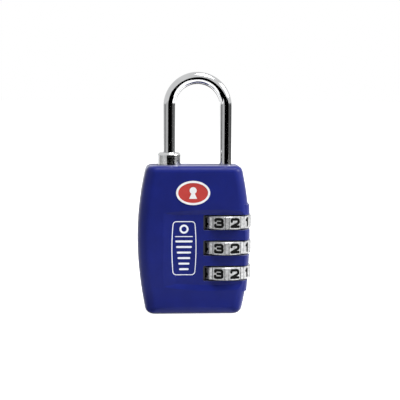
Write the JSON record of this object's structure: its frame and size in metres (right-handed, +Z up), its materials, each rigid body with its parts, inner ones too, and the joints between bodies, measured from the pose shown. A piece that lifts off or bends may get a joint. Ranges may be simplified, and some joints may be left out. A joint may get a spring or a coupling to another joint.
{
  "type": "combination padlock",
  "caption": "Blue barrel-shaped travel padlock with dials on one side, a U shackle, a spring collar round its short leg and a key override in its base.",
  "frame": {"origin": "centre of the flat base at mid depth", "axes": "+Z up along the shackle's travel, -Y the front with the badge, +X the side that the dials stand out of"},
  "size_m": [0.0304, 0.0142, 0.0644],
  "materials": {
    "case_plastic": "satin moulded plastic, deep blue",
    "cast_zinc": "as cast zinc",
    "badge_border": "white lacquer",
    "badge_enamel": "domed red enamel",
    "cylinder_brass": "turned brass",
    "plug_brass": "turned brass",
    "pin_steel": "bright steel",
    "spring_steel": "drawn spring steel",
    "shackle_chrome": "polished chrome on steel",
    "collar_chrome": "polished chrome",
    "dial_metal": "satin chrome with black numbers",
    "clutch_metal": "sintered steel"
  },
  "bodies": {
    "case": {"front_shell": "case_plastic", "back_shell": "case_plastic", "lock_frame": "cast_zinc", "leg_bush": "cast_zinc", "badge_rim": "badge_border", "badge_inlay": "badge_enamel", "cylinder_housing": "cylinder_brass", "cam_sleeve": "cast_zinc", "retaining_pins": "pin_steel", "detent_spring": "spring_steel", "clutch_springs": "spring_steel", "shackle_spring": "spring_steel", "collar_spring": "spring_steel"},
    "shackle": {"shackle": "shackle_chrome", "leg_stop_ring": "spring_steel"},
    "dial_lower": {"dial_lower": "dial_metal", "clutch_lower": "clutch_metal"},
    "dial_middle": {"dial_middle": "dial_metal", "clutch_middle": "clutch_metal"},
    "dial_upper": {"dial_upper": "dial_metal", "clutch_upper": "clutch_metal"},
    "key_plug": {"key_plug": "plug_brass", "plug_cam": "clutch_metal", "cam_screw": "pin_steel", "wafers": "plug_brass", "wafer_springs": "spring_steel"},
    "collar": {"release_collar": "collar_chrome", "collar_pin": "pin_steel"}
  },
  "joints": [
    {"name": "shackle_lift", "type": "slide", "parent": "case", "child": "shackle", "axis": [0, 0, 1], "range_m": [0, 0.005], "deforming": ["shackle_spring"]},
    {"name": "dial_lower_turn", "type": "hinge", "parent": "case", "child": "dial_lower", "pos_m": [0.0086, 0, 0.0111], "axis": [0, 0, 1], "continuous": true},
    {"name": "dial_middle_turn", "type": "hinge", "parent": "case", "child": "dial_middle", "pos_m": [0.0086, 0, 0.0179], "axis": [0, 0, 1], "continuous": true},
    {"name": "dial_upper_turn", "type": "hinge", "parent": "case", "child": "dial_upper", "pos_m": [0.0086, 0, 0.0247], "axis": [0, 0, 1], "continuous": true},
    {"name": "key_turn", "type": "hinge", "parent": "case", "child": "key_plug", "pos_m": [-0.0065, 0, 0.006], "axis": [0, 0, 1], "range_deg": [0, 90]},
    {"name": "collar_drop", "type": "slide", "parent": "case", "child": "collar", "axis": [0, 0, -1], "range_m": [0, 0.0034], "deforming": ["collar_spring"]}
  ],
  "couplings": [
    {"joint": "key_turn", "follows": "collar_drop", "rad_per_m": 462}
  ]
}
